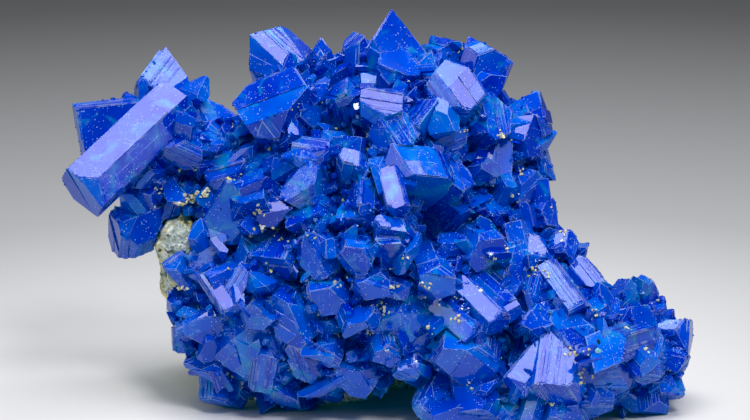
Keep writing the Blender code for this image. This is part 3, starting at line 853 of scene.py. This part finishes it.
def terraces(gathering, ring, normal, steps):
    """Lay layers on each other, each cut back further along a line that follows one of the edges."""
    middle = sum(ring, Vector()) / len(ring)
    ring = inset(ring, middle)
    height = 0.0
    for _ in range(steps):
        index = plate_chance.randrange(len(ring))
        edge = (ring[index] - ring[index - 1]).normalized()
        way = edge.cross(normal) * plate_chance.choice((1.0, -1.0))
        reaches = sorted((point - middle).dot(way) for point in ring)
        cut = reaches[0] + (reaches[-1] - reaches[0]) * plate_chance.uniform(0.45, 0.9)
        ring = clip(ring, middle + way * cut, way)
        if len(ring) < 3:
            return
        height += plate_chance.uniform(*STEP_HEIGHTS) * MM
        slab(gathering, ring, normal, height)


def ribs(gathering, ring, normal, count):
    """Lay narrow layers side by side along the longest edge."""
    longest = max(range(len(ring)), key=lambda i: (ring[i] - ring[i - 1]).length)
    way = (ring[longest] - ring[longest - 1]).normalized().cross(normal)
    middle = sum(ring, Vector()) / len(ring)
    ring = inset(ring, middle)
    reaches = sorted((point - middle).dot(way) for point in ring)
    for _ in range(count):
        start = plate_chance.uniform(reaches[0], reaches[-1])
        width = plate_chance.uniform(*RIB_WIDTHS) * MM
        strip = clip(ring, middle + way * (start + width), way)
        strip = clip(strip, middle + way * start, -way)
        if len(strip) > 2:
            slab(gathering, strip, normal, plate_chance.uniform(*RIB_HEIGHTS) * MM)


# %% Choose the faces that get layers
LARGEST_RIBBED = 50.0
RIBBED_SHARE = 0.30
TERRACED_SHARE = 0.75
MOST_RIBS = 7
MM2_PER_RIB = 6.0
plates = Gathering()
for group in FLATS:
    found = outline_of(group)
    if found is None:
        continue
    area = sum(polygons[i].area for i in group) / (MM * MM)
    if area < LARGEST_RIBBED and plate_chance.random() < RIBBED_SHARE:
        ribs(plates, *found, min(MOST_RIBS, 2 + int(area / MM2_PER_RIB)))
    elif plate_chance.random() < TERRACED_SHARE:
        terraces(plates, *found, plate_chance.choice((1, 1, 2, 3)))
plates.piece("growth_plates", middling_glass)

# %% [markdown]
# ## Chipped edges
#
# The crystals are as soft as a fingernail, so their edges are nicked all along. Tiny flakes sit on the
# convex edges of the solid, and break up the straight lines and the outline.

# %% Flakes along the edges
FLAKE_STEP = 0.7 * MM
SHARP = 0.9
MOST_WEAR = 0.8
LOWEST_FLAKE = 0.5 * MM
FLAKE_SPREAD = 0.5
FLAKE_WIDTHS = (0.15, 0.55)
flake_chance = random.Random(SEED + 3)


def convex_edges():
    """Return the ends and the outward direction of each sharp, convex edge."""
    sides = {}
    for polygon in polygons:
        for key in polygon.edge_keys:
            ends = tuple(sorted(point_key(corners[i]) for i in key))
            sides.setdefault(ends, []).append(polygon)
    found = []
    for ends, pair in sides.items():
        if len(pair) != 2 or pair[0].normal.dot(pair[1].normal) > SHARP:
            continue
        if (pair[1].center - pair[0].center).dot(pair[0].normal) < 0.0:
            first, second = (Vector(end) * 0.001 * MM for end in ends)
            found.append((first, second, (pair[0].normal + pair[1].normal).normalized()))
    return found


flakes = Gathering()
for first, second, outward in convex_edges():
    steps = int((second - first).length / FLAKE_STEP)
    wear = flake_chance.random() ** 2 * MOST_WEAR
    for _ in range(steps):
        if flake_chance.random() > wear:
            continue
        spot = first.lerp(second, flake_chance.random())
        if spot.z < LOWEST_FLAKE:
            continue
        along = (outward + Vector([flake_chance.gauss(0.0, FLAKE_SPREAD) for _ in range(3)])).normalized()
        width = flake_chance.uniform(*FLAKE_WIDTHS) * MM
        size = (width, width * flake_chance.uniform(0.4, 1.0), width * flake_chance.uniform(0.6, 1.2))
        shape = flake_chance.choice(BLUNT_SHAPES)
        tip = spot + along * size[2] * flake_chance.uniform(0.12, 0.32)
        spin = flake_chance.uniform(0.0, math.tau)
        flakes.add(*planted(shape, tip, along, spin, size), flake_chance.random())
flakes.piece("edge_flakes", clear_glass)

# %% [markdown]
# ## Lemon crumbs
#
# Where crystals meet, the photograph shows cream and lemon crumbs of altered host rock and, at one place, a
# pale turquoise grain beside a black one. They lie on whatever the eye sees there, in small heaps. Each row
# gives a heap's place on the front view, across and up in millimetres, and how many crumbs it has. A crumb's
# tint picks its colour: 0 is black, 0.2 to 0.75 goes from cream to lemon, and 1 is turquoise.

# %% Everything grown so far, for resting crumbs on
grown_points = [vertex.co.copy() for vertex in CRYSTALS.data.vertices]
grown_faces = [tuple(polygon.vertices) for polygon in CRYSTALS.data.polygons]
for made in (middling_crystals, small_crystals):
    start = len(grown_points)
    grown_points += [vertex.co.copy() for vertex in made.data.vertices]
    grown_faces += [tuple(index + start for index in polygon.vertices) for polygon in made.data.polygons]
grown = BVHTree.FromPolygons(grown_points, grown_faces)


def seen_at(across, up):
    """Return the point and the normal of the growth that the front view shows at this place."""
    eye = on_view(*VIEW_CENTRE, 0.0) + TOWARDS * VIEW_DISTANCE * MM
    hit = grown.ray_cast(eye, (on_view(across, up, 0.0) - eye).normalized())
    return hit[0], hit[1]


print("crumbs can rest on", len(grown_faces), "faces")

# %% Places for crumbs
CRUMB_SPOTS = [
    (25.8, 25.5, 9), (27.0, 25.0, 5), (28.3, 24.6, 4), (-5.5, 23.2, 8), (8.5, 23.2, 9), (20.7, 47.0, 9),
    (13.5, 17.7, 7), (33.5, 7.7, 5), (31.5, 12.3, 8), (34.4, 12.2, 6), (33.0, 12.0, 5), (-26.5, 38.2, 9),
    (-28.3, 36.6, 10), (-30.3, 36.4, 9), (-12.0, 51.5, 5), (19.6, 27.5, 5), (21.0, 29.0, 4), (30.4, 31.5, 5),
    (23.8, 41.0, 8), (22.4, 37.6, 4), (-21.5, 26.0, 4), (5.2, 27.4, 5), (16.8, 22.4, 4), (41.0, 16.0, 4),
    (43.8, 12.4, 3), (9.2, 16.4, 5), (-9.5, 30.4, 4), (2.0, 12.5, 3), (14.6, 47.6, 4), (-14.8, 44.6, 4),
]
CRUST_SPOTS = [(-28.0, 37.6, 14), (-26.8, 37.9, 10), (-30.6, 36.4, 10), (-29.0, 36.9, 8), (-29.8, 22.8, 5)]
print("chosen heaps:", len(CRUMB_SPOTS) + len(CRUST_SPOTS))

# %% Craggy grains
CRAGS = 1.6
CRAG_HEIGHT = 0.9
CRUMB_REACHES = (0.5, 1.1)
crumb_chance = random.Random(SEED + 4)


def crumb_shape(chance):
    """Return a craggy grain of about unit radius: points and faces."""
    mesh = bmesh.new()
    bmesh.ops.create_icosphere(mesh, subdivisions=2, radius=1.0)
    reach = Vector([chance.uniform(*CRUMB_REACHES) for _ in range(3)])
    for vertex in mesh.verts:
        craggy = 1.0 + CRAG_HEIGHT * noise.noise(vertex.co * CRAGS + reach * 40.0)
        vertex.co = Matrix.Diagonal(reach) @ vertex.co * craggy
    points = np.array([vertex.co for vertex in mesh.verts])
    faces = [[vertex.index for vertex in face.verts] for face in mesh.faces]
    mesh.free()
    return points, faces


CRUMB_SHAPES = [crumb_shape(crumb_chance) for _ in range(12)]
print("crumb shapes:", len(CRUMB_SHAPES))

# %% Heaps of crumbs
CRUMB_SIZE = (0.08, 0.32)
CRUST_SIZE = (0.2, 0.5)
HEAP_SPREAD = 0.5
CREAM_RANGE = (0.2, 0.75)
TURQUOISE, TURQUOISE_SPOT, TURQUOISE_SIZE = 1.0, (36.0, 12.8), (0.62, 0.66)
BLACK, BLACK_SPOT, BLACK_SIZE = 0.0, (36.2, 14.0), (0.28, 0.34)
LOWEST_HEAP = 1.0 * MM
RULED_TRIES = 900
RULED_HEAP = (2, 7)
DEEP_CORNER = 0.62


def heap(gathering, point, normal, count, size, spread, tint=None):
    """Rest a heap of crumbs on the growth round a point."""
    for _ in range(count):
        place = point + Vector([crumb_chance.gauss(0.0, spread) for _ in range(3)]) * MM + normal * 0.3 * MM
        rest, facing = grown.find_nearest(place)[:2]
        radius = crumb_chance.uniform(*size) * MM
        spin = Matrix.Rotation(crumb_chance.uniform(0.0, math.tau), 3, "Z")
        turn = facing.to_track_quat("Z", "Y").to_matrix() @ spin @ Matrix.Diagonal((radius,) * 3)
        shape = crumb_chance.choice(CRUMB_SHAPES)
        points = shape[0] @ np.array(turn).T + np.array(rest + facing * radius * 0.4)
        gathering.add(points, shape[1], crumb_chance.uniform(*CREAM_RANGE) if tint is None else tint)


crumbs = Gathering()
for across, up, count in CRUMB_SPOTS:
    point, normal = seen_at(across, up)
    if point is not None:
        heap(crumbs, point, normal, count, CRUMB_SIZE, HEAP_SPREAD)
for point, normal in skin_places(CRYSTALS, RULED_TRIES, crumb_chance):
    if point.z > LOWEST_HEAP and room_at(point, normal)[0] > DEEP_CORNER:
        heap(crumbs, point, normal, crumb_chance.randint(*RULED_HEAP), CRUMB_SIZE, HEAP_SPREAD)
for across, up, count in CRUST_SPOTS:
    heap(crumbs, *seen_at(across, up), count, CRUST_SIZE, 0.45)
heap(crumbs, *seen_at(*TURQUOISE_SPOT), 1, TURQUOISE_SIZE, 0.0, TURQUOISE)
heap(crumbs, *seen_at(*BLACK_SPOT), 2, BLACK_SIZE, 0.15, BLACK)
lemon_crumbs = crumbs.piece("lemon_crumbs", None)

# %% Crumb colours
CRUMB_TONES = [
    (0.0, linear("0A0A0F")),
    (0.1, linear("0A0A0F")),
    (0.2, linear("F5F5EB")),
    (0.5, linear("E6E1B4")),
    (0.85, linear("DCCD5A")),
    (0.95, linear("96DCE1")),
]
crumb_stone = bpy.data.materials.new("lemon_crust")
crumb_stone.use_nodes = True
tree = crumb_stone.node_tree
crust = tree.nodes["Principled BSDF"]
own = add_node(tree, "ShaderNodeAttribute", attribute_name="tint").outputs["Fac"]
kinds = add_node(tree, "ShaderNodeValToRGB", links={"Fac": own})
set_ramp(kinds, CRUMB_TONES)
place = add_node(tree, "ShaderNodeTexCoord").outputs["Object"]
dirt = add_node(tree, "ShaderNodeTexNoise", {"Scale": 2500.0, "Detail": 3.0}, {"Vector": place})
dirty = add_node(
    tree,
    "ShaderNodeMapRange",
    {"From Min": 0.35, "From Max": 0.65, "To Min": 0.55, "To Max": 1.0},
    {"Value": dirt.outputs["Fac"]},
)
shaded = add_node(
    tree,
    "ShaderNodeMixRGB",
    {"Fac": 1.0},
    {"Color1": kinds.outputs["Color"], "Color2": dirty.outputs["Result"]},
    blend_type="MULTIPLY",
)
tree.links.new(shaded.outputs["Color"], crust.inputs["Base Color"])
crust.inputs["Roughness"].default_value = 0.8
grit = add_node(
    tree, "ShaderNodeBump", {"Strength": 0.5, "Distance": 0.05 * MM}, {"Height": dirt.outputs["Fac"]}
)
tree.links.new(grit.outputs["Normal"], crust.inputs["Normal"])
lemon_crumbs.data.materials.append(crumb_stone)
print("crumb material:", crumb_stone.name)

# %% [markdown]
# ## The host rock
#
# The rock is an altered, crumbly one: pale greenish grey, granular, pitted and crusted with lemon yellow.
# Black spots are painted on it as the shade inside small holes. The solid keeps its plain blocks, and this
# piece stands for it with the grain worked in. Each kind of roughness is written as its width and how far it
# pushes the skin, in millimetres.

# %% Granular rock
MESH_STEP = 0.42 * MM
LUMPS = (3.1, 0.55)
GRAINS = (0.95, 0.30)
FINE_GRAINS = (0.45, 0.14)
PITS = (1.7, -2.4)
PIT_RIM = 0.28
PIT_PLACE = Vector((31.0, 7.0, 5.0))
MOST_PUSH = 0.35
DRAW_IN = 0.12
FLAT_GROUND = (0.05, 0.8)


def granular_rock():
    """Remesh the rock's solid, push its skin in and out by noise, and keep it above the ground."""
    step = ROCK.modifiers.new("grain", "REMESH")
    step.mode = "VOXEL"
    step.voxel_size = MESH_STEP
    evaluated = ROCK.evaluated_get(bpy.context.evaluated_depsgraph_get())
    data = bpy.data.meshes.new_from_object(evaluated)
    ROCK.modifiers.remove(step)
    data.name = "rock_matrix"
    normals = [vertex.normal.copy() for vertex in data.vertices]
    for vertex, normal in zip(data.vertices, normals):
        place = vertex.co / MM
        lumps = noise.noise(place / LUMPS[0]) * LUMPS[1]
        grains = noise.noise(place / GRAINS[0]) * GRAINS[1]
        grains += noise.noise(place / FINE_GRAINS[0]) * FINE_GRAINS[1]
        pits = max(0.0, noise.noise(place / PITS[0] + PIT_PLACE) - PIT_RIM) * PITS[1]
        push = min(lumps + grains + pits, MOST_PUSH) - DRAW_IN
        ground = min(1.0, max(0.0, (place.z - FLAT_GROUND[0]) / FLAT_GROUND[1]))
        vertex.co += normal * push * MM * ground
    made = bpy.data.objects.new("rock_matrix", data)
    bpy.context.scene.collection.objects.link(made)
    return made


rock_matrix = granular_rock()
for polygon in rock_matrix.data.polygons:
    polygon.use_smooth = True
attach(rock_matrix, "root")
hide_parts("host_rock")
print("rock polygons:", len(rock_matrix.data.polygons))

# %% Rock colours
PALE_TONES = [
    (0.0, linear("828F82")),
    (0.35, linear("AAB8A6")),
    (0.75, linear("CDD7C3")),
    (1.0, linear("EBEFE1")),
]
LEMON_TONES = [(0.0, linear("B4A03C")), (0.5, linear("E6DC82")), (1.0, linear("FAF5C8"))]
# the black of spots painted as the shade inside small holes
PIT_SHADE_BLACK = linear("1E1E19")
rock_stone = bpy.data.materials.new("crumbly_altered_rock")
rock_stone.use_nodes = True
tree = rock_stone.node_tree
stone = tree.nodes["Principled BSDF"]
place = add_node(tree, "ShaderNodeTexCoord").outputs["Object"]
grains = add_node(tree, "ShaderNodeTexVoronoi", {"Scale": 2000.0}, {"Vector": place})
grain_tone = add_node(tree, "ShaderNodeSeparateColor", links={"Color": grains.outputs["Color"]})
patches = add_node(tree, "ShaderNodeTexNoise", {"Scale": 230.0, "Detail": 5.0}, {"Vector": place})
pale = add_node(tree, "ShaderNodeValToRGB", links={"Fac": grain_tone.outputs["Red"]})
set_ramp(pale, PALE_TONES)
lemon = add_node(tree, "ShaderNodeValToRGB", links={"Fac": grain_tone.outputs["Green"]})
set_ramp(lemon, LEMON_TONES)
crust = add_node(
    tree,
    "ShaderNodeMapRange",
    {"From Min": 0.46, "From Max": 0.60, "To Min": 0.0, "To Max": 1.0},
    {"Value": patches.outputs["Fac"]},
)
crusted = add_node(
    tree,
    "ShaderNodeMixRGB",
    links={"Fac": crust.outputs["Result"], "Color1": pale.outputs["Color"], "Color2": lemon.outputs["Color"]},
)
# painted shade: black spots, placed by noise and not by the mesh's own pits, stand for the shade inside holes
holes = add_node(tree, "ShaderNodeTexNoise", {"Scale": 800.0, "Detail": 4.0}, {"Vector": place})
painted_pit_shade = add_node(
    tree,
    "ShaderNodeMapRange",
    {"From Min": 0.58, "From Max": 0.66, "To Min": 0.0, "To Max": 0.9},
    {"Value": holes.outputs["Fac"]},
)
pitted = add_node(
    tree,
    "ShaderNodeMixRGB",
    {"Color2": PIT_SHADE_BLACK},
    {"Fac": painted_pit_shade.outputs["Result"], "Color1": crusted.outputs["Color"]},
)
tree.links.new(pitted.outputs["Color"], stone.inputs["Base Color"])
stone.inputs["Roughness"].default_value = 0.85
rough_skin = add_node(
    tree,
    "ShaderNodeBump",
    {"Strength": 0.7, "Distance": 0.25 * MM},
    {"Height": grains.outputs["Distance"]},
)
tree.links.new(rough_skin.outputs["Normal"], stone.inputs["Normal"])
rock_matrix.data.materials.clear()
rock_matrix.data.materials.append(rock_stone)
print("rock material:", rock_stone.name)

# %% [markdown]
# ## The studio
#
# The photographer stood the specimen on a pale sheet, under one large soft box overhead and slightly in
# front. Faces that lean back from the viewer by about 33 degrees mirror the box, and turn lavender. The sheet
# is one large flat piece with a painted falloff of light in its colour: pale round the specimen and darker
# with the distance from it, for the light that fades towards the back. The lights' places and sizes are in
# metres, and their power in watts.

# %% Floor
FLOOR_SIZE = 3.0
# tones of the painted falloff of light, from the specimen outwards
PAINTED_FALLOFF_TONES = [
    (0.06, linear("E2E1D8")),
    (0.31, linear("A8A7A1")),
    (0.80, linear("615A54")),
    (1.0, linear("48403A")),
]
PAINTED_FALLOFF_REACH = 0.42

plane = bmesh.new()
bmesh.ops.create_grid(plane, x_segments=1, y_segments=1, size=FLOOR_SIZE)
floor_mesh = bpy.data.meshes.new("studio_floor")
plane.to_mesh(floor_mesh)
plane.free()
floor = bpy.data.objects.new("studio_floor", floor_mesh)
bpy.context.scene.collection.objects.link(floor)
sheet = bpy.data.materials.new("paper_with_painted_falloff")
sheet.use_nodes = True
tree = sheet.node_tree
place = add_node(tree, "ShaderNodeTexCoord").outputs["Object"]
# painted falloff of light: the paper is pale near the specimen and darker with the distance from it
far = add_node(tree, "ShaderNodeVectorMath", links={0: place}, operation="LENGTH")
falloff_share = add_node(
    tree,
    "ShaderNodeMapRange",
    {"From Min": 0.0, "From Max": PAINTED_FALLOFF_REACH, "To Min": 0.0, "To Max": 1.0},
    {"Value": far.outputs["Value"]},
)
painted_falloff = add_node(tree, "ShaderNodeValToRGB", links={"Fac": falloff_share.outputs["Result"]})
set_ramp(painted_falloff, PAINTED_FALLOFF_TONES)
paper = tree.nodes["Principled BSDF"]
tree.links.new(painted_falloff.outputs["Color"], paper.inputs["Base Color"])
paper.inputs["Roughness"].default_value = 0.7
floor_mesh.materials.append(sheet)
print("the sheet darkens over", PAINTED_FALLOFF_REACH, "m")

# %% Lights
AIM = Vector((0.0, 0.0, 0.03))
BOX_TINT = linear("F5F5FF")[:3]


def soft_box(name, place, size, watts):
    """Hang a rectangular soft light that faces the specimen."""
    light = bpy.data.lights.new(name, "AREA")
    light.shape = "RECTANGLE"
    light.size, light.size_y = size
    light.energy = watts
    light.color = BOX_TINT
    made = bpy.data.objects.new(name, light)
    made.location = place
    made.rotation_euler = (AIM - Vector(place)).to_track_quat("-Z", "Y").to_euler()
    bpy.context.scene.collection.objects.link(made)


soft_box("overhead_box", (0.0, -0.10, 0.55), (0.42, 0.34), 3.3)
soft_box("left_box", (-0.55, -0.25, 0.25), (0.25, 0.35), 0.7)
soft_box("right_box", (0.55, -0.15, 0.22), (0.20, 0.35), 0.3)
soft_box("key_lamp", (0.16, -0.46, 0.55), (0.14, 0.14), 2.6)

world = bpy.data.worlds.new("studio_air")
world.use_nodes = True
world.node_tree.nodes["Background"].inputs["Color"].default_value = linear("A0A5B4")
world.node_tree.nodes["Background"].inputs["Strength"].default_value = 0.62
bpy.context.scene.world = world
print("lights:", len(bpy.data.lights))

# %% Camera
SENSOR_MM = 36.0
camera_data = bpy.data.cameras.new("camera")
camera_data.sensor_width = SENSOR_MM
camera_data.lens = SENSOR_MM * VIEW_DISTANCE / VIEW_WIDTH
camera_data.clip_start = 0.01
camera_data.clip_end = 20.0
camera = bpy.data.objects.new("camera", camera_data)
camera.location = on_view(*VIEW_CENTRE, 0.0) + TOWARDS * VIEW_DISTANCE * MM
camera.rotation_euler = (-TOWARDS).to_track_quat("-Z", "Y").to_euler()
bpy.context.scene.collection.objects.link(camera)
bpy.context.scene.camera = camera
print("lens:", round(camera_data.lens, 1), "mm")

# %% [markdown]
# The photograph's deep blues hold almost no red: its maker took the haze of the pale sheet out of them. So
# the picture's black level is raised in the red by a little over one hundredth.

# %% Light paths and tone
RED_HAZE = (0.013, 0.0, 0.0)
scene = bpy.context.scene
scene.view_settings.view_transform = "Standard"
scene.view_settings.use_curve_mapping = True
scene.view_settings.curve_mapping.black_level = RED_HAZE
scene.view_settings.curve_mapping.update()
scene.cycles.max_bounces = 12
scene.cycles.transmission_bounces = 8
scene.cycles.use_denoising = True
print("black level:", RED_HAZE)
